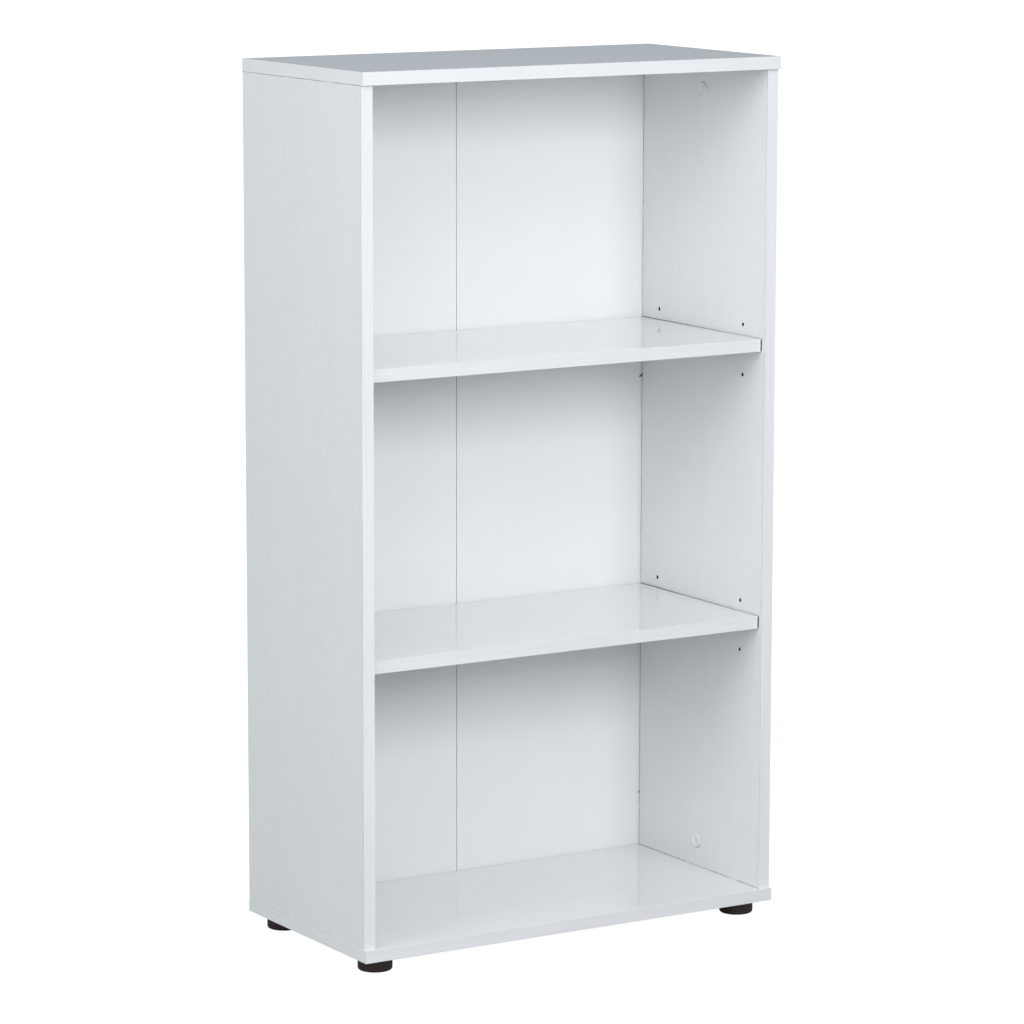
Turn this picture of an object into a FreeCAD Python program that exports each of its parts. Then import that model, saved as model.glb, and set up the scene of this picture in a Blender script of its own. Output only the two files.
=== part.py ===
import FreeCAD, Part
import math
import os

# A white open bookcase on four round feet, with two shelves that rest on pins.
# Origin on the floor under the middle of the case, +X to the right, +Y to the back, +Z up, in millimetres.

Vector = FreeCAD.Vector
UP = Vector(0, 0, 1)
RIGHT = Vector(1, 0, 0)
BACK = Vector(0, 1, 0)
LEFT_AND_RIGHT = {"left": -1, "right": 1}
FRONT_AND_REAR = {"front": -1, "rear": 1}
BOTTOM_AND_TOP = {"bottom": -1, "top": 1}

# The whole case, feet included
WIDTH = 600.0
DEPTH = 300.0
HEIGHT = 1100.0

# Faced boards and the bands on their edges
BOARD = 16.0
EDGING = 0.4
EDGING_EASE_SHARE = 0.7
SIDE_SETBACK = 5.0

# Back of two thin halves in a groove, joined by a tape behind their seam
BACK_SHEET = 3.0
BACK_SEAM = 0.8
BACK_SEAM_EASE = 0.5
GROOVE_DEPTH = 6.0
GROOVE_CLEARANCE = 0.7
GROOVE_REAR_WALL = 10.0
TAPE_WIDTH = 38.0
TAPE_THICKNESS = 0.2
TAPE_END_GAP = 3.0

# Shelves
SHELF_SETBACK = 7.0
SHELF_END_GAP = 1.8
SHELF_BACK_GAP = 1.5

# Shelf pins and the columns of holes for them
PIN_DIAMETER = 5.0
PIN_STEM = 9.0
PIN_COLLAR_DIAMETER = 8.0
PIN_COLLAR = 0.8
PIN_TONGUE_DIAMETER = 6.0
PIN_TONGUE = 8.0
PIN_SEAT = 2.0
PIN_END_EASE = 0.5
PIN_HOLE_CLEARANCE = 0.05
PIN_HOLE_SPARE = 0.5
PIN_PITCH = 32.0
PIN_HOLES_EACH_WAY = 1
PIN_INSET = 54.0

# Cam fitting of each corner joint
CAM_DIAMETER = 15.0
CAM_BELOW_BOLT = 4.0
CAM_BACKSET = 34.0
CAM_ECCENTRICITY = 1.0
CAM_POCKET_ROOM = 1.3
CAM_CLEARANCE = 0.1
CAM_HOLE_SPARE = 0.5
CAM_TURN = 150.0
BOLT_HEAD_DIAMETER = 7.0
BOLT_HEAD = 3.0
BOLT_HEAD_EASE = 0.8
BOLT_NECK_DIAMETER = 4.6
BOLT_SHANK_DIAMETER = 6.0
BOLT_COLLAR = 1.5
BOLT_THREAD = 10.5
BOLT_HOLE_SPARE = 0.5
BOLT_BORE_DIAMETER = 8.0
BOLT_CLEARANCE = 0.2

# Cross recess of the cams and screws, and the round cap over each cam, with a raised rim
CROSS_WIDTH = 1.3
CROSS_SPAN = 6.4
CROSS_DEPTH_SHARE = 0.55
CAP_DIAMETER = 18.0
CAP_PLUG = 1.0
CAP_RIM_HEIGHT = 1.4
CAP_RIM_ROUND = 1.1
CAP_RIM_CREST = 0.6
CAP_DISH = 0.7
CAP_DISH_SLOPE = 1.7
CAP_STEM_CLEARANCE = 0.1

# Fluted dowels beside the cams
DOWEL_DIAMETER = 8.0
DOWEL_LENGTH = 30.0
DOWEL_IN_PANEL = 11.0
DOWEL_HOLE_SPARE = 0.5
DOWEL_CLEARANCE = 0.05
DOWEL_EASE = 1.0
DOWEL_FLUTES = 12
DOWEL_FLUTE = 0.25
DOWEL_INSET = 54.0

# Round feet and their screws
FOOT_DIAMETER = 43.0
FOOT_HEIGHT = 18.0
FOOT_ROUND = 3.0
FOOT_WEB = 4.0
FOOT_RECESS_DIAMETER = 16.0
FOOT_END_INSET = 32.0
FOOT_EDGE_INSET = 34.0
SCREW_DIAMETER = 4.0
SCREW_LENGTH = 15.0
SCREW_POINT = 3.0
SCREW_HEAD_DIAMETER = 8.5
SCREW_HEAD = 2.8
SCREW_CLEARANCE = 0.1
SCREW_HOLE_SPARE = 0.5

# How far a cutting shape runs past the face that it cuts
OVERRUN = 1.0

# Places that follow from the sizes above
CASE_FRONT = -DEPTH / 2
CASE_REAR = DEPTH / 2
CORE_HALF_WIDTH = WIDTH / 2 - EDGING
INNER_HALF_WIDTH = CORE_HALF_WIDTH - BOARD
FLOOR_OF_CASE = FOOT_HEIGHT + BOARD
ROOF_OF_CASE = HEIGHT - BOARD
SIDE_FRONT = CASE_FRONT + SIDE_SETBACK
GROOVE_REAR = CASE_REAR - GROOVE_REAR_WALL
BACK_FRONT = GROOVE_REAR - BACK_SHEET
GROOVE_FRONT = BACK_FRONT - GROOVE_CLEARANCE
CLEAR_HEIGHT = (ROOF_OF_CASE - FLOOR_OF_CASE - 2 * BOARD) / 3
SHELF_UNDERSIDES = {
    "lower_shelf": FLOOR_OF_CASE + CLEAR_HEIGHT,
    "upper_shelf": FLOOR_OF_CASE + 2 * CLEAR_HEIGHT + BOARD,
}
CAM_FOOT = BOARD / 2 + CAM_BELOW_BOLT
CAM_LID = BOARD / 2 - BOLT_HEAD_DIAMETER / 2 - BOLT_CLEARANCE - CAP_PLUG
CROSS_DEPTH = CROSS_DEPTH_SHARE * CAM_LID
DOWEL_IN_SIDE = DOWEL_LENGTH - DOWEL_IN_PANEL


# Helpers for plain shapes and places

def block(low, high):
    """Box between its lowest and its highest corner."""
    size = high - low
    return Part.makeBox(size.x, size.y, size.z, low)


def rod(diameter, start, end):
    """Round bar between two points."""
    return Part.makeCylinder(diameter / 2, (end - start).Length, start, end - start)


def turned(outline):
    """Solid of revolution about Z from a closed outline of edges in the XZ plane."""
    return Part.Face(Part.Wire(Part.__sortEdges__(outline))).revolve(Vector(), UP, 360)


def straight_outline(points):
    """Edges that join (radius, height) points in turn and close on the first."""
    corners = [Vector(radius, 0, height) for radius, height in points]
    return [Part.LineSegment(a, b).toShape() for a, b in zip(corners, corners[1:] + corners[:1])]


def rim_round(rim, level, size, way):
    """Quarter round at a turned shape's rim, above its lower face or, with way -1, below its upper one."""
    halfway = size * (1 - math.cos(math.pi / 4))
    return Part.Arc(Vector(rim, 0, level + way * size), Vector(rim - halfway, 0, level + way * halfway),
                    Vector(rim - size, 0, level)).toShape()


def placed(shape, origin, x_axis, z_axis):
    """Copy of a shape whose own X and Z axes point along the given ones, with its origin at a point."""
    copy = shape.copy()
    turn = FreeCAD.Rotation(x_axis, Vector(), z_axis, "ZXY")
    copy.Placement = FreeCAD.Placement(origin, turn).multiply(copy.Placement)
    return copy


def cross(width, span, low, high):
    """Upright cross of two bars about Z, between two heights."""
    along = block(Vector(-span / 2, -width / 2, low), Vector(span / 2, width / 2, high))
    across = block(Vector(-width / 2, -span / 2, low), Vector(width / 2, span / 2, high))
    return along.fuse(across).removeSplitter()


# Corner joints: at each one X points from the side into the end panel, and Z out of the side's inner face

def corner_joint(shape, side, end, y):
    """Copy of a fitting's shape at one corner of the case."""
    edge = ROOF_OF_CASE if end > 0 else FLOOR_OF_CASE
    return placed(shape, Vector(side * INNER_HALF_WIDTH, y, edge), UP * end, RIGHT * -side)


def at_cams(shape):
    """Copies of a fitting's shape at the four cams, which sit at half the depth."""
    return [corner_joint(shape, side, end, 0)
            for side in LEFT_AND_RIGHT.values() for end in BOTTOM_AND_TOP.values()]


def at_dowels(shape):
    """Copies of a dowel's shape, at the front and rear of every corner joint."""
    reach = DEPTH / 2 - DOWEL_INSET
    return [corner_joint(shape, side, end, row * reach)
            for side in LEFT_AND_RIGHT.values()
            for end in BOTTOM_AND_TOP.values()
            for row in FRONT_AND_REAR.values()]


def cam_lock():
    """Round cam with a closed lid and, under it, an eccentric claw that holds the bolt's head."""
    bolt_height = -BOARD / 2
    claw_radius = BOLT_HEAD_DIAMETER / 2 + CAM_POCKET_ROOM
    slot = BOLT_NECK_DIAMETER + 2 * BOLT_CLEARANCE
    body = Part.makeCylinder(CAM_DIAMETER / 2, CAM_FOOT - CAP_PLUG, Vector(0, 0, -CAM_FOOT))
    pocket = Part.makeCylinder(claw_radius, CAM_FOOT - CAP_PLUG - CAM_LID + OVERRUN,
                               Vector(-CAM_ECCENTRICITY, 0, -CAM_FOOT - OVERRUN))
    middle = Vector(0, 0, bolt_height)
    outside = Vector(CAM_DIAMETER, 0, bolt_height)
    neck_seat = rod(slot, middle, outside)
    neck_slot = Part.makeCylinder(CAM_DIAMETER, slot, Vector(0, 0, bolt_height - slot / 2), UP, CAM_TURN)
    entry = rod(BOLT_HEAD_DIAMETER + 2 * BOLT_CLEARANCE, middle, outside)
    entry.rotate(Vector(), UP, CAM_TURN)
    recess = cross(CROSS_WIDTH, CROSS_SPAN, -CAP_PLUG - CROSS_DEPTH, OVERRUN - CAP_PLUG)
    cam = body.cut([pocket, neck_seat, neck_slot, entry, recess])
    cam.translate(RIGHT * -CAM_BACKSET)
    return cam


def cam_bolt():
    """Bolt that is screwed into the end panel, with a collar on its face and a head in the cam's claw."""
    claw_radius = BOLT_HEAD_DIAMETER / 2 + CAM_POCKET_ROOM
    seat = math.sqrt(claw_radius ** 2 - (BOLT_HEAD_DIAMETER / 2) ** 2) - CAM_ECCENTRICITY - CAM_CLEARANCE
    head_seat = seat - CAM_BACKSET
    neck_end = CAM_DIAMETER / 2 + CAM_CLEARANCE - CAM_BACKSET
    head = BOLT_HEAD_DIAMETER / 2
    neck = BOLT_NECK_DIAMETER / 2
    shank = BOLT_SHANK_DIAMETER / 2
    collar = BOLT_BORE_DIAMETER / 2 - BOLT_CLEARANCE
    profile = [
        (0, head_seat - BOLT_HEAD),
        (head - BOLT_HEAD_EASE, head_seat - BOLT_HEAD),
        (head, head_seat - BOLT_HEAD + BOLT_HEAD_EASE),
        (head, head_seat),
        (neck, head_seat),
        (neck, neck_end),
        (shank, neck_end),
        (shank, -BOLT_COLLAR),
        (collar, -BOLT_COLLAR),
        (collar, 0),
        (shank, 0),
        (shank, BOLT_THREAD),
        (0, BOLT_THREAD),
    ]
    upright = turned(straight_outline(profile))
    return placed(upright, Vector(0, 0, -BOARD / 2), BACK, RIGHT)


def cam_cap():
    """Round cap on the side's inner face: a raised rim, a plug in the cam's hole and a cross stem below."""
    body = CAM_DIAMETER / 2
    rim = CAP_DIAMETER / 2
    crest = rim - CAP_RIM_ROUND - CAP_RIM_CREST
    middle = CAP_RIM_HEIGHT - CAP_DISH
    straight = straight_outline([
        (rim - CAP_RIM_ROUND, CAP_RIM_HEIGHT),
        (crest, CAP_RIM_HEIGHT),
        (crest - CAP_DISH_SLOPE, middle),
        (0, middle),
        (0, -CAP_PLUG),
        (body, -CAP_PLUG),
        (body, 0),
        (rim, 0),
        (rim, CAP_RIM_HEIGHT - CAP_RIM_ROUND),
    ])
    disc = turned(straight[:-1] + [rim_round(rim, CAP_RIM_HEIGHT, CAP_RIM_ROUND, -1)])
    stem = cross(CROSS_WIDTH - 2 * CAP_STEM_CLEARANCE, CROSS_SPAN - 2 * CAP_STEM_CLEARANCE,
                 -CAP_PLUG - CROSS_DEPTH + CAP_STEM_CLEARANCE, -CAP_PLUG)
    cap = disc.fuse(stem).removeSplitter()
    cap.translate(RIGHT * -CAM_BACKSET)
    return cap


def cam_drillings():
    """Blind hole for the cam and the bore that leads the bolt to it through the side's end."""
    depth = CAM_FOOT + CAM_HOLE_SPARE
    hole = rod(CAM_DIAMETER + 2 * CAM_CLEARANCE, Vector(-CAM_BACKSET, 0, -depth),
               Vector(-CAM_BACKSET, 0, OVERRUN))
    bore = rod(BOLT_BORE_DIAMETER, Vector(-CAM_BACKSET, 0, -BOARD / 2), Vector(OVERRUN, 0, -BOARD / 2))
    return hole.fuse(bore)


def bolt_drilling():
    """Blind hole in the end panel for the bolt's thread."""
    return rod(BOLT_SHANK_DIAMETER + 2 * CAM_CLEARANCE, Vector(-OVERRUN, 0, -BOARD / 2),
               Vector(BOLT_THREAD + BOLT_HOLE_SPARE, 0, -BOARD / 2))


def dowel():
    """Fluted wooden dowel with eased ends."""
    radius = DOWEL_DIAMETER / 2
    corners = []
    for step in range(2 * DOWEL_FLUTES):
        angle = math.pi * step / DOWEL_FLUTES
        reach = radius - DOWEL_FLUTE * (step % 2)
        corners.append(Vector(-DOWEL_IN_SIDE, reach * math.cos(angle), reach * math.sin(angle)))
    fluted = Part.Face(Part.makePolygon(corners + corners[:1])).extrude(RIGHT * DOWEL_LENGTH)
    eased = turned(straight_outline([
        (0, -DOWEL_IN_SIDE),
        (radius - DOWEL_EASE, -DOWEL_IN_SIDE),
        (radius, DOWEL_EASE - DOWEL_IN_SIDE),
        (radius, DOWEL_IN_PANEL - DOWEL_EASE),
        (radius - DOWEL_EASE, DOWEL_IN_PANEL),
        (0, DOWEL_IN_PANEL),
    ]))
    whole = fluted.common(placed(eased, Vector(), BACK, RIGHT))
    whole.translate(Vector(0, 0, -BOARD / 2))
    return whole


def dowel_drilling():
    """Hole for a dowel, blind in the side's end and in the panel."""
    return rod(DOWEL_DIAMETER + 2 * DOWEL_CLEARANCE,
               Vector(-DOWEL_IN_SIDE - DOWEL_HOLE_SPARE, 0, -BOARD / 2),
               Vector(DOWEL_IN_PANEL + DOWEL_HOLE_SPARE, 0, -BOARD / 2))


# Shelf pins: X points up, and Z out of the side's inner face

def pin_place(shape, side, row, height):
    """Copy of a pin's shape on a side's inner face, in the front or the rear column."""
    spot = Vector(side * INNER_HALF_WIDTH, row * (DEPTH / 2 - PIN_INSET), height)
    return placed(shape, spot, UP, RIGHT * -side)


def pin_axis_height(shelf):
    """Height of the pins' axes under a shelf."""
    return SHELF_UNDERSIDES[shelf] - PIN_SEAT


def shelf_pin():
    """Pin with a stem in the hole, a collar on the side and a tongue whose flat top carries the shelf."""
    stem = PIN_DIAMETER / 2
    collar = PIN_COLLAR_DIAMETER / 2
    tongue = PIN_TONGUE_DIAMETER / 2
    tip = PIN_COLLAR + PIN_TONGUE
    pin = turned(straight_outline([
        (0, -PIN_STEM),
        (stem - PIN_END_EASE, -PIN_STEM),
        (stem, PIN_END_EASE - PIN_STEM),
        (stem, 0),
        (collar, 0),
        (collar, PIN_COLLAR),
        (tongue, PIN_COLLAR),
        (tongue, tip - PIN_END_EASE),
        (tongue - PIN_END_EASE, tip),
        (0, tip),
    ]))
    over_seat = block(Vector(PIN_SEAT, -collar, PIN_COLLAR), Vector(PIN_SEAT + collar, collar, tip + OVERRUN))
    return pin.cut(over_seat)


def shelf_pins(shelf):
    """The four pins that carry one shelf."""
    return [pin_place(shelf_pin(), side, row, pin_axis_height(shelf))
            for side in LEFT_AND_RIGHT.values() for row in FRONT_AND_REAR.values()]


def pin_drillings(side):
    """Columns of holes round each shelf's place, so that the shelf can be set higher or lower."""
    depth = PIN_STEM + PIN_HOLE_SPARE
    hole = rod(PIN_DIAMETER + 2 * PIN_HOLE_CLEARANCE, Vector(0, 0, -depth), Vector(0, 0, OVERRUN))
    steps = range(-PIN_HOLES_EACH_WAY, PIN_HOLES_EACH_WAY + 1)
    return [pin_place(hole, side, row, pin_axis_height(shelf) + step * PIN_PITCH)
            for shelf in SHELF_UNDERSIDES for row in FRONT_AND_REAR.values() for step in steps]


# Boards, edge bands and the back

def groove():
    """Room for the back, cut into the sides, the top and the bottom."""
    half = INNER_HALF_WIDTH + GROOVE_DEPTH
    return block(Vector(-half, GROOVE_FRONT, FLOOR_OF_CASE - GROOVE_DEPTH),
                 Vector(half, GROOVE_REAR, ROOF_OF_CASE + GROOVE_DEPTH))


def side_board(side):
    """Upright side between the bottom and the top."""
    near, far = sorted((side * INNER_HALF_WIDTH, side * CORE_HALF_WIDTH))
    board = block(Vector(near, SIDE_FRONT + EDGING, FLOOR_OF_CASE), Vector(far, CASE_REAR, ROOF_OF_CASE))
    drillings = at_cams(cam_drillings()) + at_dowels(dowel_drilling()) + pin_drillings(side)
    return board.cut([groove()] + drillings)


def end_board(low):
    """Top or bottom panel, without its edge bands, from the height of its underside."""
    board = block(Vector(-CORE_HALF_WIDTH, CASE_FRONT + EDGING, low),
                  Vector(CORE_HALF_WIDTH, CASE_REAR, low + BOARD))
    return board.cut([groove()] + at_cams(bolt_drilling()) + at_dowels(dowel_drilling()))


def bottom_board():
    """Bottom panel with blind holes in its underside for the foot screws."""
    depth = SCREW_LENGTH - FOOT_WEB + SCREW_HOLE_SPARE
    hole = rod(SCREW_DIAMETER + 2 * SCREW_CLEARANCE, Vector(0, 0, FOOT_HEIGHT - OVERRUN),
               Vector(0, 0, FOOT_HEIGHT + depth))
    return end_board(FOOT_HEIGHT).cut(at_feet(hole))


def shelf_half_width():
    """Half the width of a shelf, which has a little play between the sides."""
    return INNER_HALF_WIDTH - SHELF_END_GAP


def shelf_board(low):
    """Loose shelf, without its edge band, from the height of its underside."""
    half = shelf_half_width()
    return block(Vector(-half, SIDE_FRONT + SHELF_SETBACK + EDGING, low),
                 Vector(half, BACK_FRONT - SHELF_BACK_GAP, low + BOARD))


def eased_band(low, high, outward):
    """Edge band whose two long outer edges are slightly rounded."""
    band = block(low, high)
    long_edges = sorted(band.Edges, key=lambda edge: edge.Length)[-4:]
    outer = [edge for edge in long_edges if (edge.CenterOfMass - band.CenterOfMass).dot(outward) > 0]
    return band.makeFillet(EDGING_EASE_SHARE * EDGING, outer)


def front_band(half_width, front, low, high):
    """Edge band on the front of a board."""
    return eased_band(Vector(-half_width, front, low), Vector(half_width, front + EDGING, high), BACK * -1)


def side_front_band(side):
    """Edge band up the front of a side."""
    near, far = sorted((side * INNER_HALF_WIDTH, side * CORE_HALF_WIDTH))
    return eased_band(Vector(near, SIDE_FRONT, FLOOR_OF_CASE), Vector(far, SIDE_FRONT + EDGING, ROOF_OF_CASE),
                      BACK * -1)


def end_band(side, low):
    """Edge band on the left or right end of the top or the bottom."""
    near, far = sorted((side * CORE_HALF_WIDTH, side * WIDTH / 2))
    return eased_band(Vector(near, CASE_FRONT + EDGING, low), Vector(far, CASE_REAR, low + BOARD),
                      RIGHT * side)


def back_half(side):
    """One half of the back, standing in the groove, with its front edge eased at the seam."""
    near, far = sorted((side * BACK_SEAM / 2, side * (INNER_HALF_WIDTH + GROOVE_DEPTH - GROOVE_CLEARANCE)))
    sheet = block(Vector(near, BACK_FRONT, FLOOR_OF_CASE - GROOVE_DEPTH),
                  Vector(far, GROOVE_REAR, ROOF_OF_CASE + GROOVE_DEPTH - GROOVE_CLEARANCE))
    seam_edge = Vector(side * BACK_SEAM / 2, BACK_FRONT, sheet.CenterOfMass.z)
    eased = min(sheet.Edges, key=lambda edge: (edge.CenterOfMass - seam_edge).Length)
    return sheet.makeFillet(BACK_SEAM_EASE, [eased])


def fold_tape():
    """Tape on the rear of the back, over the seam."""
    return block(Vector(-TAPE_WIDTH / 2, GROOVE_REAR, FLOOR_OF_CASE + TAPE_END_GAP),
                 Vector(TAPE_WIDTH / 2, GROOVE_REAR + TAPE_THICKNESS, ROOF_OF_CASE - TAPE_END_GAP))


# Feet

def at_foot(shape, side, row):
    """Copy of a shape at the axis of one foot."""
    copy = shape.copy()
    copy.translate(Vector(side * (WIDTH / 2 - FOOT_END_INSET), row * (DEPTH / 2 - FOOT_EDGE_INSET), 0))
    return copy


def at_feet(shape):
    """Copies of a shape at the axes of the four feet."""
    return [at_foot(shape, side, row) for side in LEFT_AND_RIGHT.values() for row in FRONT_AND_REAR.values()]


def foot():
    """Round moulded foot with a rounded lower rim and a recess for its screw."""
    rim = FOOT_DIAMETER / 2
    recess = FOOT_RECESS_DIAMETER / 2
    bore = SCREW_DIAMETER / 2 + SCREW_CLEARANCE
    ceiling = FOOT_HEIGHT - FOOT_WEB
    straight = straight_outline([
        (rim - FOOT_ROUND, 0),
        (recess, 0),
        (recess, ceiling),
        (bore, ceiling),
        (bore, FOOT_HEIGHT),
        (rim, FOOT_HEIGHT),
        (rim, FOOT_ROUND),
    ])
    return turned(straight[:-1] + [rim_round(rim, 0, FOOT_ROUND, 1)])


def foot_screw():
    """Cross-head screw up through the foot into the bottom panel."""
    seat = FOOT_HEIGHT - FOOT_WEB
    head = SCREW_HEAD_DIAMETER / 2
    shank = SCREW_DIAMETER / 2
    screw = turned(straight_outline([
        (0, seat - SCREW_HEAD),
        (head / 2, seat - SCREW_HEAD),
        (head, seat - SCREW_HEAD / 2),
        (head, seat),
        (shank, seat),
        (shank, seat + SCREW_LENGTH - SCREW_POINT),
        (0, seat + SCREW_LENGTH),
    ]))
    recess = cross(CROSS_WIDTH, head, seat - SCREW_HEAD - OVERRUN, seat - SCREW_HEAD / 2)
    return screw.cut(recess)


# Every piece under its own name

def pieces():
    """All pieces of the bookcase by name. Like fastenings are one group of separate solids."""
    found = {
        "top_panel": end_board(ROOF_OF_CASE),
        "bottom_panel": bottom_board(),
        "back_fold_tape": fold_tape(),
        "cam_locks": Part.makeCompound(at_cams(cam_lock())),
        "cam_bolts": Part.makeCompound(at_cams(cam_bolt())),
        "cam_cover_caps": Part.makeCompound(at_cams(cam_cap())),
        "dowels": Part.makeCompound(at_dowels(dowel())),
        "foot_screws": Part.makeCompound(at_feet(foot_screw())),
        "top_front_edging": front_band(WIDTH / 2, CASE_FRONT, ROOF_OF_CASE, HEIGHT),
        "bottom_front_edging": front_band(WIDTH / 2, CASE_FRONT, FOOT_HEIGHT, FLOOR_OF_CASE),
    }
    for name, side in LEFT_AND_RIGHT.items():
        found[name + "_side"] = side_board(side)
        found[name + "_side_front_edging"] = side_front_band(side)
        found["top_" + name + "_edging"] = end_band(side, ROOF_OF_CASE)
        found["bottom_" + name + "_edging"] = end_band(side, FOOT_HEIGHT)
        found["back_panel_" + name] = back_half(side)
        for row_name, row in FRONT_AND_REAR.items():
            found["foot_" + row_name + "_" + name] = at_foot(foot(), side, row)
    shelf_front = SIDE_FRONT + SHELF_SETBACK
    for name, low in SHELF_UNDERSIDES.items():
        found[name] = shelf_board(low)
        found[name + "_front_edging"] = front_band(shelf_half_width(), shelf_front, low, low + BOARD)
        found[name + "_pins"] = Part.makeCompound(shelf_pins(name))
    return found


os.makedirs("parts", exist_ok=True)
for piece_name, piece in pieces().items():
    piece.exportStep("parts/" + piece_name + ".step")
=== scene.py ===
from math import cos, pi, radians, sin

import bpy
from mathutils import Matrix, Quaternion, Vector


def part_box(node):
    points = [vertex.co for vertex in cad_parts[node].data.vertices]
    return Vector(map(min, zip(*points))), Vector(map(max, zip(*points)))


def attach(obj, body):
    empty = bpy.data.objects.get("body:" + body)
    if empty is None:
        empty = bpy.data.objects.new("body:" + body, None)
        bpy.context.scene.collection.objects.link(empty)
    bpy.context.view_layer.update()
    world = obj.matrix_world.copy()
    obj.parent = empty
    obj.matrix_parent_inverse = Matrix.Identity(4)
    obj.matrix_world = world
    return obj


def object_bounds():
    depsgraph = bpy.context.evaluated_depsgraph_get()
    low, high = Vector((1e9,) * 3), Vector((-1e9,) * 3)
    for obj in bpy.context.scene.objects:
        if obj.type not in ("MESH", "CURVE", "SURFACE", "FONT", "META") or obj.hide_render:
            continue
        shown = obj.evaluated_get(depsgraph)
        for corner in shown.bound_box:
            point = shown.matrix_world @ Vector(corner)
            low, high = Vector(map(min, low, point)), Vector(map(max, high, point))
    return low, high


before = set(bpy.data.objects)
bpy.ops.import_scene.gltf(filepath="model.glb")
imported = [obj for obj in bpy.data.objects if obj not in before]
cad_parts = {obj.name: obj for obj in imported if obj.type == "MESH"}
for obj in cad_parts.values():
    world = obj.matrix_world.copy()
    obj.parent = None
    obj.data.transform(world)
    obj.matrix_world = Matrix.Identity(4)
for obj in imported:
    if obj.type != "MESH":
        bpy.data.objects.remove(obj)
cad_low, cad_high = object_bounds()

# White open bookcase on round feet. All lengths are in metres, in the frame's own axes: the front faces -Y.

MM = 0.001
X, Y, Z = range(3)

# Places read from the frame
CASE_CENTRE = (cad_low + cad_high) / 2
INNER_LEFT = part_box("left_side")[1].x
INNER_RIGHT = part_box("right_side")[0].x
SIDE_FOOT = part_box("right_side")[0].z
SIDE_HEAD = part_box("right_side")[1].z
BACK_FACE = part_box("back_panel_right")[0].y
BACK_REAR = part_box("back_panel_right")[1].y

# Boards. The grain, figure and banding are noise scales per metre, across and along the board.
GRAIN = (420, 24)
FIGURE = (95, 26)
BANDING = (24, 2.5)
FACING = 0.2 * MM
FACING_RELIEF = 0.03 * MM
FLAKE_DENSITY = 420
FLAKE_FIBRES = (900, 900, 300)
FLAKE_RELIEF = 0.1 * MM
# Near-black on the cut core in grooves and holes, in front of the back's rear face: drill burn and painted
# shade
CUT_BURN_AND_PAINTED_SHADE = (0.035, 0.026, 0.020)

# Dark lines on the sides, where boards, bands, shelves and caps meet them: a glue line at each front band,
# and painted shade along the seams with the top and bottom, beside the shelves, in the rear corner and
# beside the caps
INNER_MARGIN = 1 * MM
LINE_BREAKS = 45
# Painted shade: a dark line on each side along the seams with the top and the bottom
JOINT_SHADE_LINE = 0.8 * MM
JOINT_PAINTED_SHADE = (0.16, 0.165, 0.17)
JOINT_SHADE_STRENGTHS = {
    "left_side": {SIDE_FOOT: 0.5, SIDE_HEAD: 0.9},
    "right_side": {SIDE_FOOT: 1.0, SIDE_HEAD: 0.9},
}
GLUE_LINE = 1.0 * MM
GLUE_SHADE = (0.52, 0.54, 0.53)
# Painted shade on the sides' inner faces, along the top of each shelf and in the gap beside its front
SHELF_SHADE_LINE = 0.9 * MM
SHELF_SHADE_DEPTH = 3.2 * MM
SHELF_PAINTED_SHADE = (0.04, 0.04, 0.04)
# Painted shade: a dark crescent beside each cap on the sides' inner faces
CRESCENT_OFFSET = 1.2 * MM
CRESCENT_PAINTED_SHADE = (0.44, 0.45, 0.44)
# Painted shade along the rear corner, on the sides' inner faces at the groove's lip
CORNER_SHADE_LINE = 1.6 * MM
CORNER_SHADE_STRENGTH = 0.5

# Whites, as stops of colour from the pale to the grey of the grain
SIDE_WHITE = [(0.25, (0.802, 0.817, 0.804)), (0.7, (0.754, 0.769, 0.756))]
LEVEL_WHITE = [(0.25, (0.802, 0.816, 0.806)), (0.7, (0.754, 0.768, 0.758))]
# The front bands are a darker white than the boards: painted shade that tones down the full light they catch
# from the front
SHADED_FRONT_BAND = [(0.3, (0.705, 0.72, 0.712)), (0.7, (0.66, 0.675, 0.667))]
END_BAND = [(0.3, (0.815, 0.835, 0.825)), (0.7, (0.77, 0.79, 0.78))]
BACK_WHITE = [(0.3, (0.80, 0.815, 0.805)), (0.7, (0.78, 0.795, 0.785))]

# Edge bands
BAND_STREAKS = (430, 7)
BAND_RELIEF = 0.02 * MM
GLUE_FILM = 0.03 * MM
GLUE_FADE = 0.09 * MM
GLUE_COLOUR = (0.50, 0.44, 0.34)

# Back: white lacquer in front, with a painted fold at the seam, and the press screen's weave behind
LACQUER = 0.15 * MM
LACQUER_FADE = 0.3 * MM
FOLD_PAINT = 1.2 * MM
FOLD_FADE = 1.6 * MM
WEAVE_PITCH = 1.3 * MM
BACK_RELIEF = 0.06 * MM

# Tape, fittings and feet
CREPE_RELIEF = 0.12 * MM
CASTING_RELIEF = 0.03 * MM
PLATING_RELIEF = 0.01 * MM
CAP_RELIEF = 0.01 * MM
DOWEL_RELIEF = 0.05 * MM
FOOT_RELIEF = 0.02 * MM
SCUFF_START = 0.3 * MM
SCUFF_END = 3.5 * MM
SCUFF_COLOUR = (0.11, 0.085, 0.075)

# Spare shelf pin holes: the drill lifts a small lip round each
HOLE_RADIUS = 2.5 * MM
HOLE_PITCH = 32 * MM
COLLAR_RADIUS = 4 * MM
LIP_RADIUS = 0.22 * MM
LIP_WAVE = 0.10 * MM
LIP_RIPPLE = 700.0
LIP_SIDES = 32
LIP_SECTION_SIDES = 8
LIP_LEAST = 0.98
LIP_MOST = 1.05
LIP_SEED = 7

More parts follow.
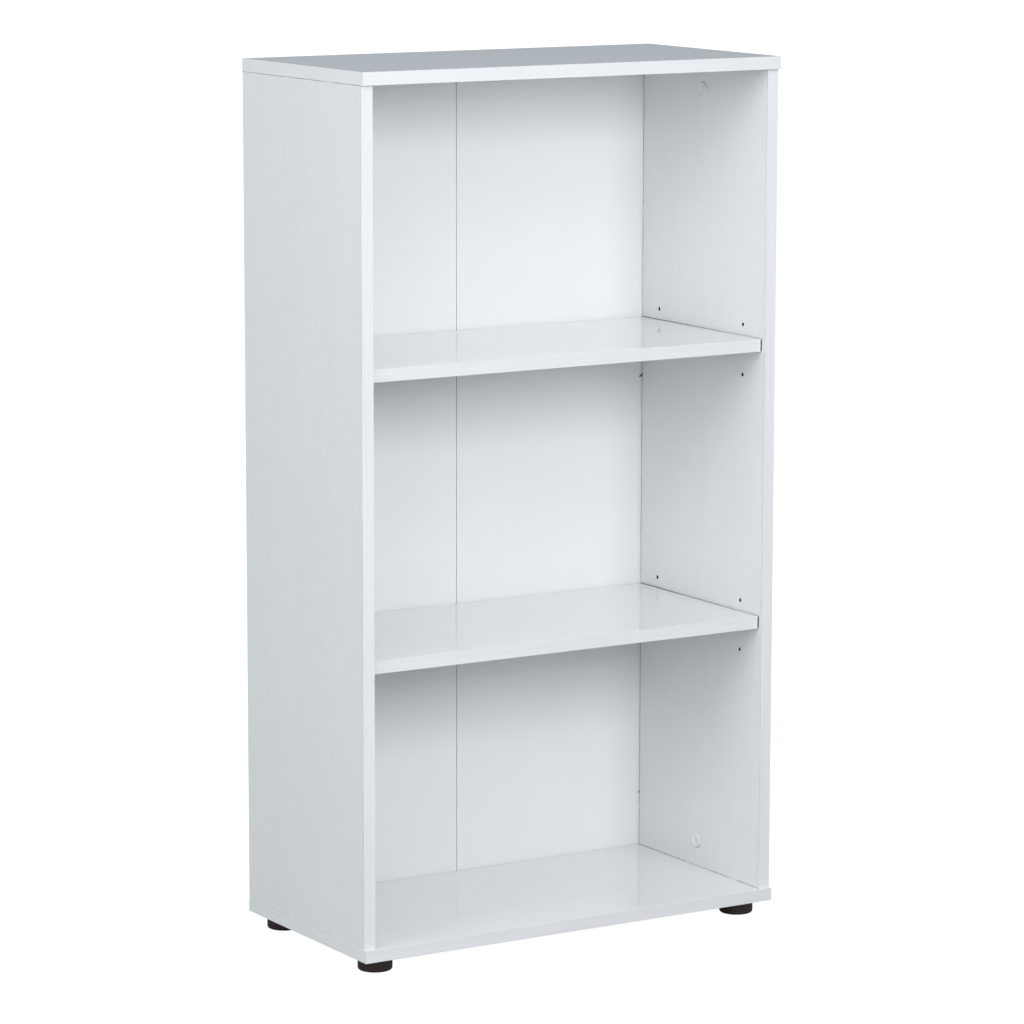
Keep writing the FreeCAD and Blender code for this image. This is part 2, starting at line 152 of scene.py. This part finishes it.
# Saw chips along the back groove's front lip, and two splinters across the corner at the right
GROOVE_GAP = 0.7 * MM
GROOVE_LIP = BACK_FACE - GROOVE_GAP
CHIP_SPACING = 23 * MM
CHIP_LEAST = 0.3 * MM
CHIP_MOST = 1.1 * MM
CHIP_SHARES = (0.06, 0.55, 1.0)
CHIP_WAVE = 0.3
CHIP_RIPPLE = 2.5
CHIP_SUBDIVISIONS = 2
CHIP_SEED = 3

# Height up the corner and length of each splinter
SPLINTERS = {"lower_groove_splinter": (0.106, 4.0 * MM), "upper_groove_splinter": (0.667, 7.5 * MM)}
SPLINTER_TURN = (radians(32), radians(38.7), 0)
SPLINTER_SHARES = (0.27, 0.27, 1.0)
SPLINTER_INSET_SHARE = 0.27
SPLINTER_WAVE = 0.12
SPLINTER_RIPPLE = 4.0
SPLINTER_SUBDIVISIONS = 3

# Camera, at the photograph's viewing angle. Lens and sensor are in millimetres.
CAMERA_PLACE = Vector((-2.8815, -4.6863, 1.4493))
CAMERA_YAW = radians(31.582)
CAMERA_PITCH = radians(-9.503)
CAMERA_ROLL = radians(0.097)
CAMERA_LENS = 155.53
CAMERA_SENSOR = 36.0

# Studio: what the floor and the room give as light, and how bright the camera and the glossy faces see them
FLOOR_REACH = 60.0
FLOOR_TONE = 0.30
FLOOR_SEEN = 0.965
FLOOR_GLOW = 0.05
AMBIENT = 0.508
ROOM_TINT = (0.83, 0.91, 1.0)
MIRRORED = 0.455
MIRRORED_TINT = (0.85, 0.925, 1.0)
BACKDROP = 1.0
COOL = (0.965, 0.955, 1.0)
NEUTRAL = (1.0, 1.0, 1.0)
SOFTBOX_DISTANCE = 3.2
UNMIRRORED = ("key_softbox", "fill_softbox", "left_softbox", "low_softbox", "right_softbox", "rear_softbox")

# Azimuth (0 is in front, 90 at the right), elevation, width, height, power in watts and tint of each softbox
SOFTBOXES = {
    "key_softbox": (5, 20, 1.2, 1.0, 35.1, COOL),
    "fill_softbox": (-20, 18, 1.2, 1.0, 21.4, COOL),
    "side_softbox": (-40, 30, 1.2, 1.0, 12.4, COOL),
    "high_softbox": (-20, 48, 1.2, 1.0, 13.4, COOL),
    "left_softbox": (-75, 24, 1.2, 1.0, 26.3, NEUTRAL),
    "low_softbox": (-50, 0, 1.2, 1.0, 6.7, COOL),
    "right_softbox": (95, 12, 2.0, 1.6, 18.0, NEUTRAL),
    "rear_softbox": (-155, 10, 2.0, 1.6, 9.0, NEUTRAL),
}


class Socket:
    """One output of a node. Arithmetic on it adds Math nodes to its own tree."""

    def __init__(self, graph, socket):
        self.graph = graph
        self.socket = socket

    def __add__(self, other):
        return self.graph.math("ADD", self, other)

    def __sub__(self, other):
        return self.graph.math("SUBTRACT", self, other)

    def __rsub__(self, other):
        return self.graph.math("SUBTRACT", other, self)

    def __mul__(self, other):
        return self.graph.math("MULTIPLY", self, other)

    def __abs__(self):
        return self.graph.math("ABSOLUTE", self)

    __radd__ = __add__
    __rmul__ = __mul__


class Graph:
    """A node tree, with one method that adds any node to it."""

    def __init__(self, tree):
        self.tree = tree

    def node(self, kind, settings=None, sockets=None, output=0):
        made = self.tree.nodes.new(kind)
        for name, value in (settings or {}).items():
            if name == "stops":
                self.set_stops(made.color_ramp, value)
            else:
                setattr(made, name, value)
        for name, value in (sockets or {}).items():
            self.feed(made.inputs[name], value)
        return Socket(self, made.outputs[output]) if made.outputs else None

    def feed(self, target, value):
        if isinstance(value, Socket):
            self.tree.links.new(value.socket, target)
        else:
            target.default_value = value

    def set_stops(self, ramp, stops):
        while len(ramp.elements) < len(stops):
            ramp.elements.new(1.0)
        for element, (place, colour) in zip(ramp.elements, stops):
            element.position = place
            element.color = (*colour, 1)

    def math(self, operation, *values):
        return self.node("ShaderNodeMath", {"operation": operation}, dict(enumerate(values)))

    def mix(self, factor, first, second):
        colours = [(*c, 1) if isinstance(c, tuple) else c for c in (first, second)]
        sockets = {0: factor, 6: colours[0], 7: colours[1]}
        return self.node("ShaderNodeMix", {"data_type": "RGBA"}, sockets, output=2)


class Finish(Graph):
    """A procedural material on Object coordinates."""

    def __init__(self, name, **constants):
        self.material = bpy.data.materials.new(name)
        self.material.use_nodes = True
        super().__init__(self.material.node_tree)
        self.surface = self.tree.nodes["Principled BSDF"]
        for socket, value in constants.items():
            self.surface.inputs[socket.replace("_", " ")].default_value = value
        self.place = self.node("ShaderNodeTexCoord", output="Object")

    def axis(self, index):
        return self.node("ShaderNodeSeparateXYZ", sockets={0: self.place}, output=index)

    def stretched(self, scale):
        """Object coordinates with a scale of their own on each axis, or one for all."""
        scales = scale if isinstance(scale, tuple) else (scale, scale, scale)
        return self.node("ShaderNodeMapping", sockets={"Vector": self.place, "Scale": scales})

    def noise(self, scale, detail=2.0, roughness=0.5, distortion=0.0):
        return self.node("ShaderNodeTexNoise", sockets={
            "Vector": self.stretched(scale), "Scale": 1.0, "Detail": detail, "Roughness": roughness,
            "Distortion": distortion})

    def cells(self, scale, output):
        sockets = {"Vector": self.stretched(scale), "Scale": 1.0}
        return self.node("ShaderNodeTexVoronoi", {"feature": "F1"}, sockets, output)

    def step(self, value, low, high):
        """0 below low, 1 above high and smooth between them. Turned round where low is above high."""
        return self.node("ShaderNodeMapRange", {"interpolation_type": "SMOOTHSTEP"},
                         {"Value": value, "From Min": low, "From Max": high})

    def ramp(self, value, stops):
        return self.node("ShaderNodeValToRGB", {"stops": stops}, {"Fac": value})

    def bump(self, height, distance, strength=0.5):
        sockets = {"Height": height, "Distance": distance, "Strength": strength}
        return self.node("ShaderNodeBump", sockets=sockets)

    def dress(self, colour, roughness, normal=None, coat=None):
        """Feeds the surface and gives the finished material."""
        self.feed(self.surface.inputs["Base Color"], colour)
        self.feed(self.surface.inputs["Roughness"], roughness)
        if normal is not None:
            self.feed(self.surface.inputs["Normal"], normal)
        if coat is not None:
            self.feed(self.surface.inputs["Coat Weight"], coat)
        return self.material


def board_axes(node):
    """Low corner, high corner, thickness axis and length axis of a board or band."""
    low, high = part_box(node)
    size = high - low
    thin = min(range(3), key=lambda axis: size[axis])
    long = max(range(3), key=lambda axis: size[axis])
    return low, high, thin, long


def along(long, grain):
    """Noise scales on the three axes, which draw a grain out along one of them."""
    across_scale, along_scale = grain
    scales = [across_scale] * 3
    scales[long] = along_scale
    return tuple(scales)


def chipboard_core(finish):
    """Colour and height of pressed wood flakes."""
    flakes = finish.cells(FLAKE_DENSITY, "Color")
    shade = finish.node("ShaderNodeSeparateColor", sockets={0: flakes})
    fibres = finish.noise(FLAKE_FIBRES, detail=3)
    tone = shade * 0.7 + fibres * 0.3
    colour = finish.ramp(tone, [
        (0.10, (0.15, 0.085, 0.04)), (0.45, (0.38, 0.25, 0.13)),
        (0.75, (0.55, 0.40, 0.23)), (1.0, (0.66, 0.52, 0.34))])
    return colour, tone


def hairline(finish, axis, place, width):
    """A thin line along one plane, broken here and there."""
    line = 1 - finish.step(abs(finish.axis(axis) - place), 0.5 * width, width)
    return line * finish.step(finish.noise(LINE_BREAKS), 0.25, 0.55)


def inner_face(finish):
    """1 on a side's inner face and 0 on its outer face."""
    return 1 - finish.step(abs(finish.axis(X)), INNER_RIGHT + INNER_MARGIN, INNER_RIGHT + 2 * INNER_MARGIN)


def painted_shelf_shade(finish):
    """Painted shade in fine lines on a side's inner face, along the top of each shelf and beside its front.
    """
    shelf_shade = 0
    depth = finish.axis(Y)
    height = finish.axis(Z)
    for shelf in ("lower_shelf", "upper_shelf"):
        low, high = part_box(shelf)
        half = (high.z - low.z) / 2
        off_middle = abs(height - (low.z + half))
        behind_front = finish.step(depth, low.y - SHELF_SHADE_LINE, low.y)
        before_rear = 1 - finish.step(depth, high.y, high.y + SHELF_SHADE_LINE)
        at_top = 1 - finish.step(abs(height - high.z), 0.4 * SHELF_SHADE_LINE, SHELF_SHADE_LINE)
        top_shade = at_top * (0.2 + 0.5 * finish.step(depth, low.y, high.y))
        beside_edge = 1 - finish.step(off_middle, half - SHELF_SHADE_LINE, half)
        front_shade = beside_edge * (1 - finish.step(depth, low.y + 0.7 * SHELF_SHADE_DEPTH, low.y + SHELF_SHADE_DEPTH))
        shelf_shade = shelf_shade + finish.math("MAXIMUM", top_shade, front_shade) * behind_front * before_rear
    return shelf_shade * inner_face(finish)


def cap_crescent_shade(finish):
    """Painted shade: dark crescents on a side's inner face beside each cap, towards the front and the
    board's end.
    """
    low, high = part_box("cam_cover_caps")
    radius = (high.y - low.y) / 2
    middle = (low.z + high.z) / 2
    forward = 0 - finish.axis(Y) - CRESCENT_OFFSET
    endward = abs(finish.axis(Z) - middle) - (high.z - middle - radius + CRESCENT_OFFSET)
    apart = forward * forward + endward * endward
    return (1 - finish.step(apart, (0.97 * radius) ** 2, (1.03 * radius) ** 2)) * inner_face(finish)


def melamine_board(node, shaded_joints=None, is_side=False, is_shelf=False):
    """White faced chipboard: a satin facing with a faint pressed grain, glossy on level boards, and raw core
    where the board is cut. Grooves and holes are painted near-black, partly drill burn and partly painted
    shade.
    Hairlines show where another piece joins on: a glue line at the front band, and painted shade elsewhere."""
    low, high, thin, long = board_axes(node)
    finish = Finish(node + "_melamine", IOR=1.5, Specular_IOR_Level=0.35, Coat_Roughness=0.02)
    inside = (high[thin] - low[thin]) / 2 - abs(finish.axis(thin) - (low[thin] + high[thin]) / 2)
    core = finish.step(inside, 0.6 * FACING, 1.2 * FACING)
    if is_shelf:
        core = core * (1 - finish.step(finish.axis(Y), high.y - 2 * FACING, high.y - FACING))
    grain = finish.noise(along(long, GRAIN), detail=3, roughness=0.6, distortion=0.4)
    figure = finish.noise(along(long, FIGURE), distortion=1.8)
    banding = finish.noise(along(long, BANDING))
    cloud = finish.noise(5)
    pores = finish.step(grain, 0.52, 0.72)
    tone = 0.2 * pores + 0.5 * figure + 0.3 * banding
    white = finish.ramp(tone, SIDE_WHITE if is_side else LEVEL_WHITE)
    for height, strength in (shaded_joints or {}).items():
        # painted shade along the seams with the top and the bottom
        white = finish.mix(hairline(finish, Z, height, JOINT_SHADE_LINE) * strength, white, JOINT_PAINTED_SHADE)
    if is_side:
        white = finish.mix(hairline(finish, Y, low.y, GLUE_LINE), white, GLUE_SHADE)
        # painted shade along the rear corner
        corner = hairline(finish, Y, GROOVE_LIP, CORNER_SHADE_LINE) * CORNER_SHADE_STRENGTH * inner_face(finish)
        white = finish.mix(corner, white, JOINT_PAINTED_SHADE)
        # painted shade in a crescent beside each cap
        white = finish.mix(cap_crescent_shade(finish), white, CRESCENT_PAINTED_SHADE)
        # painted shade along and beside each shelf
        white = finish.mix(painted_shelf_shade(finish), white, SHELF_PAINTED_SHADE)
    raw, flakes = chipboard_core(finish)
    if not is_shelf:
        # grooves and holes: drill burn and painted shade
        raw = finish.mix(finish.step(finish.axis(Y), BACK_REAR, BACK_REAR + FACING), CUT_BURN_AND_PAINTED_SHADE, raw)
    pearl = finish.noise(1600, detail=1)
    relief = (pores * -0.6 + pearl * 0.35) * (1 - core) + flakes * core * 6
    roughness = 0.31 + 0.06 * cloud + 0.05 * pores + core * 0.5
    coat = None if is_side else 1 - core
    return finish.dress(finish.mix(core, white, raw), roughness, finish.bump(relief, FACING_RELIEF), coat)


def edge_band(node):
    """A thin white strip with faint streaks along it, and its glue line next to the board."""
    low, high, thin, long = board_axes(node)
    finish = Finish(node + "_white", IOR=1.5, Specular_IOR_Level=0.5)
    glued_face = min(low[thin], high[thin], key=abs)
    off_board = abs(finish.axis(thin) - glued_face)
    glue = 1 - finish.step(off_board, GLUE_FILM, GLUE_FADE)
    streaks = finish.noise(along(long, BAND_STREAKS))
    cloud = finish.noise(11)
    tone = 0.75 * streaks + 0.25 * cloud
    faces_front = thin == Y
    # front bands take a darker white as painted shade
    white = finish.ramp(tone, SHADED_FRONT_BAND if faces_front else END_BAND)
    colour = finish.mix(glue, white, GLUE_COLOUR)
    roughness = 0.31 + 0.08 * streaks + 0.2 * glue
    return finish.dress(colour, roughness, finish.bump(streaks, BAND_RELIEF, 0.4))


def fibreboard(node):
    """Thin fibreboard: white lacquer in front, bare brown behind with the press screen's weave."""
    finish = Finish(node + "_fibreboard", IOR=1.5, Specular_IOR_Level=0.4)
    behind = finish.step(finish.axis(Y), BACK_REAR - LACQUER_FADE, BACK_REAR - LACQUER)
    off_seam = finish.step(abs(finish.axis(X)), FOLD_PAINT, FOLD_FADE)
    cut_edge = finish.step(finish.axis(Y), BACK_FACE + LACQUER, BACK_FACE + LACQUER_FADE) * off_seam
    bare = finish.math("MAXIMUM", behind, cut_edge)
    cloud = finish.noise(6, detail=3)
    peel = finish.noise(420)
    white = finish.ramp(cloud, BACK_WHITE)
    fibres = finish.noise((500, 500, 380), detail=4, roughness=0.65)
    flecks = finish.cells((700, 700, 500), "Distance")
    brown = finish.ramp(fibres * 0.75 + flecks * 0.25, [
        (0.2, (0.13, 0.075, 0.04)), (0.5, (0.25, 0.155, 0.085)), (0.8, (0.36, 0.245, 0.15))])
    turns = 2 * pi / WEAVE_PITCH
    weave = finish.math("SINE", finish.axis(X) * turns) * finish.math("SINE", finish.axis(Z) * turns)
    relief = peel * 0.25 * (1 - bare) + (weave * 0.8 + fibres) * bare
    roughness = 0.34 + 0.06 * cloud + bare * 0.42
    return finish.dress(finish.mix(bare, white, brown), roughness, finish.bump(relief, BACK_RELIEF))


def paper_tape():
    """Creped white paper tape."""
    finish = Finish("creped_paper_tape", IOR=1.45, Specular_IOR_Level=0.3)
    crepe = finish.noise((90, 90, 1400), detail=3, distortion=0.6)
    soil = finish.noise(18, detail=3)
    colour = finish.ramp(soil * 0.6 + crepe * 0.4, [(0.25, (0.74, 0.71, 0.63)), (0.75, (0.66, 0.62, 0.53))])
    return finish.dress(colour, 0.62 + 0.15 * crepe, finish.bump(crepe, CREPE_RELIEF, 0.7))


def die_cast_zinc():
    """Dull zinc with the cloudy flow of the mould."""
    finish = Finish("die_cast_zinc", Metallic=1.0)
    flow = finish.noise(260, detail=4)
    speck = finish.noise(2600, detail=1)
    colour = finish.ramp(flow, [(0.3, (0.50, 0.51, 0.53)), (0.7, (0.64, 0.65, 0.66))])
    return finish.dress(colour, 0.36 + 0.2 * flow, finish.bump(speck + flow, CASTING_RELIEF))


def plated_steel():
    """Bright zinc plate with a thin passivated bloom."""
    finish = Finish("zinc_plated_steel", Metallic=1.0)
    bloom = finish.noise(190, detail=3)
    rings = finish.noise((60, 60, 2400), detail=1)
    colour = finish.ramp(bloom, [
        (0.3, (0.66, 0.68, 0.72)), (0.55, (0.74, 0.74, 0.74)), (0.8, (0.72, 0.69, 0.62))])
    return finish.dress(colour, 0.30 + 0.12 * bloom, finish.bump(rings, PLATING_RELIEF, 0.4))


def cap_plastic():
    """White plastic with a fine spark texture."""
    finish = Finish("white_cap_plastic", IOR=1.49, Specular_IOR_Level=0.5)
    cloud = finish.noise(120)
    spark = finish.noise(5200, detail=1)
    colour = finish.ramp(cloud, [(0.3, (0.80, 0.815, 0.80)), (0.7, (0.77, 0.785, 0.77))])
    return finish.dress(colour, 0.32 + 0.1 * cloud, finish.bump(spark, CAP_RELIEF, 0.4))


def beech():
    """Pale beech with small dark flecks."""
    finish = Finish("beech_dowel", IOR=1.5, Specular_IOR_Level=0.3)
    grain = finish.noise((900, 900, 60), detail=3)
    flecks = finish.step(finish.noise((1500, 500, 300), detail=1), 0.62, 0.7)
    wood = finish.ramp(grain, [(0.3, (0.56, 0.38, 0.22)), (0.7, (0.68, 0.50, 0.32))])
    colour = finish.mix(flecks, wood, (0.40, 0.24, 0.13))
    return finish.dress(colour, 0.62 + 0.1 * grain, finish.bump(grain, DOWEL_RELIEF))


def foot_plastic():
    """Dark brown moulded plastic with a fine spark texture, scuffed pale at the lower rim."""
    finish = Finish("dark_brown_plastic", IOR=1.5, Specular_IOR_Level=0.5)
    spark = finish.noise(2400)
    cloud = finish.noise(90, detail=3)
    scratch = finish.noise((240, 240, 1900), detail=3)
    near_floor = 1 - finish.step(finish.axis(Z), SCUFF_START, SCUFF_END)
    scuff = near_floor * finish.step(scratch, 0.48, 0.66)
    brown = finish.ramp(cloud * 0.6 + spark * 0.4, [
        (0.3, (0.017, 0.009, 0.009)), (0.7, (0.035, 0.020, 0.019))])
    colour = finish.mix(scuff * 0.6, brown, SCUFF_COLOUR)
    return finish.dress(colour, 0.36 + 0.16 * cloud + 0.2 * scuff, finish.bump(spark, FOOT_RELIEF))


def wear(node, material):
    """Puts a material in a part's own slots."""
    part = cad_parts[node]
    part.data.materials.clear()
    part.data.materials.append(material)


def dress_parts():
    """Gives every part its finish."""
    for node in ("top_panel", "bottom_panel"):
        wear(node, melamine_board(node))
    for node in ("upper_shelf", "lower_shelf"):
        wear(node, melamine_board(node, is_shelf=True))
    for node, shaded_joints in JOINT_SHADE_STRENGTHS.items():
        wear(node, melamine_board(node, shaded_joints, is_side=True))
    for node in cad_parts:
        if node.endswith("_edging"):
            wear(node, edge_band(node))
    for node in ("back_panel_left", "back_panel_right"):
        wear(node, fibreboard(node))
    wear("back_fold_tape", paper_tape())
    wear("cam_locks", die_cast_zinc())
    wear("cam_cover_caps", cap_plastic())
    wear("dowels", beech())
    steel = plated_steel()
    for node in ("cam_bolts", "upper_shelf_pins", "lower_shelf_pins", "foot_screws"):
        wear(node, steel)
    plastic = foot_plastic()
    for end in ("front", "rear"):
        for hand in ("left", "right"):
            wear(f"foot_{end}_{hand}", plastic)


def spare_hole_centres():
    """Where the spare pin holes meet the inner faces of the sides, one pitch above and below each pin."""
    centres = []
    for pins in ("lower_shelf_pins", "upper_shelf_pins"):
        low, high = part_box(pins)
        rows = (low.y + COLLAR_RADIUS, high.y - COLLAR_RADIUS)
        heights = (low.z + COLLAR_RADIUS - HOLE_PITCH, low.z + COLLAR_RADIUS + HOLE_PITCH)
        centres += [Vector((x, y, z)) for x in (INNER_LEFT, INNER_RIGHT) for y in rows for z in heights]
    return centres


def grow(name, points, sizes, shape, material):
    """Grows one shape on every point with a node tree, and keeps the result as one plain mesh on the case.
    The shape's function takes the tree and its named inputs, and gives the instances."""
    tree = bpy.data.node_groups.new(name, "GeometryNodeTree")
    tree.interface.new_socket("Points", in_out="INPUT", socket_type="NodeSocketGeometry")
    for label, size in sizes.items():
        kind = "NodeSocketInt" if isinstance(size, int) else "NodeSocketFloat"
        tree.interface.new_socket(label, in_out="INPUT", socket_type=kind)
    tree.interface.new_socket("Piece", in_out="OUTPUT", socket_type="NodeSocketGeometry")
    graph = Graph(tree)
    given = tree.nodes.new("NodeGroupInput")
    instances = shape(graph, {socket.name: Socket(graph, socket) for socket in given.outputs})
    solid = graph.node("GeometryNodeRealizeInstances", sockets={"Geometry": instances})
    dressed = graph.node("GeometryNodeSetMaterial", sockets={"Geometry": solid, "Material": material})
    graph.node("NodeGroupOutput", sockets={"Piece": dressed})

    cloud = bpy.data.meshes.new(name + "_points")
    cloud.from_pydata(points, [], [])
    seedbed = bpy.data.objects.new(name + "_points", cloud)
    bpy.context.scene.collection.objects.link(seedbed)
    modifier = seedbed.modifiers.new(name, "NODES")
    modifier.node_group = tree
    for item in tree.interface.items_tree:
        if item.name in sizes:
            modifier[item.identifier] = sizes[item.name]
    grown = seedbed.evaluated_get(bpy.context.evaluated_depsgraph_get())
    piece = bpy.data.objects.new(name, bpy.data.meshes.new_from_object(grown))
    bpy.context.scene.collection.objects.link(piece)
    bpy.data.objects.remove(seedbed)
    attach(piece, "case")
    return piece


def rippled(graph, mesh, depth, scale):
    """The mesh with each point pushed in or out along its normal by noise."""
    push = (graph.node("ShaderNodeTexNoise", sockets={"Scale": scale}) - 0.5) * depth
    normal = graph.node("GeometryNodeInputNormal")
    offset = graph.node("ShaderNodeVectorMath", {"operation": "SCALE"}, {"Vector": normal, "Scale": push})
    return graph.node("GeometryNodeSetPosition", sockets={"Geometry": mesh, "Offset": offset})


def scattered(graph, given, mesh, least, most):
    """One instance of the mesh on every point, turned about X and scaled at random."""
    seed = given["Seed"]
    turn = graph.node("FunctionNodeRandomValue", sockets={2: 0.0, 3: 2 * pi, "Seed": seed}, output=1)
    size = graph.node("FunctionNodeRandomValue", sockets={2: least, 3: most, "Seed": seed + 1}, output=1)
    rotation = graph.node("ShaderNodeCombineXYZ", sockets={"X": turn})
    return graph.node("GeometryNodeInstanceOnPoints", sockets={
        "Points": given["Points"], "Instance": mesh, "Rotation": rotation, "Scale": size})


def circle(graph, sides, radius):
    return graph.node("GeometryNodeCurvePrimitiveCircle", sockets={"Resolution": sides, "Radius": radius})


def pebble(graph, subdivisions, **placing):
    """A ball one unit across, scaled and turned."""
    ball = graph.node("GeometryNodeMeshIcoSphere", sockets={"Radius": 0.5, "Subdivisions": subdivisions})
    return graph.node("GeometryNodeTransform", sockets={"Geometry": ball, **placing})


def lip_shape(graph, given):
    """A thin rippled ring that stands round a hole."""
    edge = given["Hole radius"] + given["Lip radius"]
    ring = circle(graph, LIP_SIDES, edge)
    section = circle(graph, LIP_SECTION_SIDES, given["Lip radius"])
    lip = graph.node("GeometryNodeCurveToMesh", sockets={"Curve": ring, "Profile Curve": section})
    upright = graph.node("GeometryNodeTransform", sockets={"Geometry": lip, "Rotation": (0, pi / 2, 0)})
    rough = rippled(graph, upright, given["Lip wave"], LIP_RIPPLE)
    return scattered(graph, given, rough, LIP_LEAST, LIP_MOST)


def chip_shape(graph, given):
    """A thin flat flake."""
    flat = pebble(graph, CHIP_SUBDIVISIONS, Scale=CHIP_SHARES)
    rough = rippled(graph, flat, CHIP_WAVE, CHIP_RIPPLE)
    return scattered(graph, given, rough, given["Least"], given["Most"])


def splinter_shape(graph, given):
    """A slim splinter, slanted from the side to the back."""
    slant = pebble(graph, SPLINTER_SUBDIVISIONS, Scale=SPLINTER_SHARES, Rotation=SPLINTER_TURN)
    rough = rippled(graph, slant, SPLINTER_WAVE, SPLINTER_RIPPLE)
    return graph.node("GeometryNodeInstanceOnPoints", sockets={
        "Points": given["Points"], "Instance": rough, "Scale": given["Size"]})


def raw_core():
    """Fresh chips of core."""
    finish = Finish("raw_chipboard", IOR=1.5, Specular_IOR_Level=0.2)
    colour, flakes = chipboard_core(finish)
    return finish.dress(colour, 0.75 + 0.15 * flakes, finish.bump(flakes, FLAKE_RELIEF))


def torn_core():
    """A splinter of core, dark grey."""
    finish = Finish("torn_chipboard", IOR=1.5, Specular_IOR_Level=0.1)
    fibres = finish.noise(FLAKE_FIBRES, detail=3)
    colour = finish.ramp(fibres, [(0.3, (0.10, 0.10, 0.095)), (0.7, (0.16, 0.16, 0.15))])
    return finish.dress(colour, 0.8 + 0.15 * fibres, finish.bump(fibres, FLAKE_RELIEF))


def pin_hole_lips():
    """The lip round each spare pin hole, all in one piece."""
    sizes = {"Hole radius": HOLE_RADIUS, "Lip radius": LIP_RADIUS, "Lip wave": LIP_WAVE, "Seed": LIP_SEED}
    piece = grow("pin_hole_lips", spare_hole_centres(), sizes, lip_shape, cap_plastic())


def groove_chips():
    """The chips along both grooves in one piece, and each splinter in a piece of its own."""
    count = int((SIDE_HEAD - SIDE_FOOT) / CHIP_SPACING)
    lips = [Vector((x, GROOVE_LIP, SIDE_FOOT + (step + 0.5) * CHIP_SPACING))
            for x in (INNER_LEFT, INNER_RIGHT) for step in range(count)]
    small = {"Least": CHIP_LEAST, "Most": CHIP_MOST, "Seed": CHIP_SEED}
    grow("groove_chips", lips, small, chip_shape, raw_core())
    torn = torn_core()
    for name, (height, size) in SPLINTERS.items():
        inset = SPLINTER_INSET_SHARE * size
        corner = [Vector((INNER_RIGHT - inset, BACK_FACE - inset, height))]
        grow(name, corner, {"Size": size}, splinter_shape, torn)


def softbox(name, azimuth, elevation, width, height, power, tint):
    """A large soft light aimed at the middle of the case. The low ones are kept out of mirror reflections,
    so that the glossy top shows no bright patches from any side."""
    turn = radians(azimuth)
    lift = radians(elevation)
    away = Vector((sin(turn) * cos(lift), -cos(turn) * cos(lift), sin(lift)))
    lamp = bpy.data.lights.new(name, "AREA")
    lamp.shape = "RECTANGLE"
    lamp.size = width
    lamp.size_y = height
    lamp.energy = power
    lamp.color = tint
    box = bpy.data.objects.new(name, lamp)
    box.location = CASE_CENTRE + away * SOFTBOX_DISTANCE
    box.rotation_euler = away.to_track_quat("Z", "Y").to_euler()
    box.visible_camera = False
    box.visible_glossy = name not in UNMIRRORED
    bpy.context.scene.collection.objects.link(box)


def studio_world():
    """A dim room all round, which the camera sees as a pale backdrop."""
    world = bpy.data.worlds.new("studio")
    world.use_nodes = True
    graph = Graph(world.node_tree)
    seen = graph.node("ShaderNodeLightPath", output="Is Camera Ray")
    mirrored = graph.node("ShaderNodeLightPath", output="Is Glossy Ray")
    room = world.node_tree.nodes["Background"]
    strength = AMBIENT + mirrored * (MIRRORED - AMBIENT) + seen * (BACKDROP - AMBIENT)
    graph.feed(room.inputs["Strength"], strength)
    tint = graph.mix(mirrored, ROOM_TINT, MIRRORED_TINT)
    graph.feed(room.inputs["Color"], graph.mix(seen, tint, NEUTRAL))
    bpy.context.scene.world = world


def studio_floor():
    """A wide pale floor that glows a little, so that it reads as white paper."""
    floor_mesh = bpy.data.meshes.new("floor")
    corners = [(x * FLOOR_REACH, y * FLOOR_REACH, 0) for x, y in ((-1, -1), (1, -1), (1, 1), (-1, 1))]
    floor_mesh.from_pydata(corners, [], [(0, 1, 2, 3)])
    paper = Finish("floor_paper", Emission_Strength=1.0)
    seen = paper.node("ShaderNodeLightPath", output="Is Camera Ray")
    paper.feed(paper.surface.inputs["Emission Color"], paper.mix(seen, (FLOOR_GLOW,) * 3, (FLOOR_SEEN,) * 3))
    floor_mesh.materials.append(paper.dress((FLOOR_TONE,) * 3 + (1.0,), 0.9))
    floor = bpy.data.objects.new("floor", floor_mesh)
    bpy.context.scene.collection.objects.link(floor)


def photo_camera():
    """The camera that the picture is taken with."""
    level = cos(CAMERA_PITCH)
    forward = Vector((sin(CAMERA_YAW) * level, cos(CAMERA_YAW) * level, sin(CAMERA_PITCH)))
    camera = bpy.data.objects.new("camera", bpy.data.cameras.new("camera"))
    camera.data.lens = CAMERA_LENS
    camera.data.sensor_width = CAMERA_SENSOR
    camera.location = CAMERA_PLACE
    camera.rotation_mode = "QUATERNION"
    camera.rotation_quaternion = forward.to_track_quat("-Z", "Y") @ Quaternion((0, 0, 1), CAMERA_ROLL)
    bpy.context.scene.collection.objects.link(camera)
    bpy.context.scene.camera = camera


dress_parts()
pin_hole_lips()
groove_chips()
studio_world()
studio_floor()
for name, settings in SOFTBOXES.items():
    softbox(name, *settings)
photo_camera()
bpy.context.scene.view_settings.view_transform = "Standard"
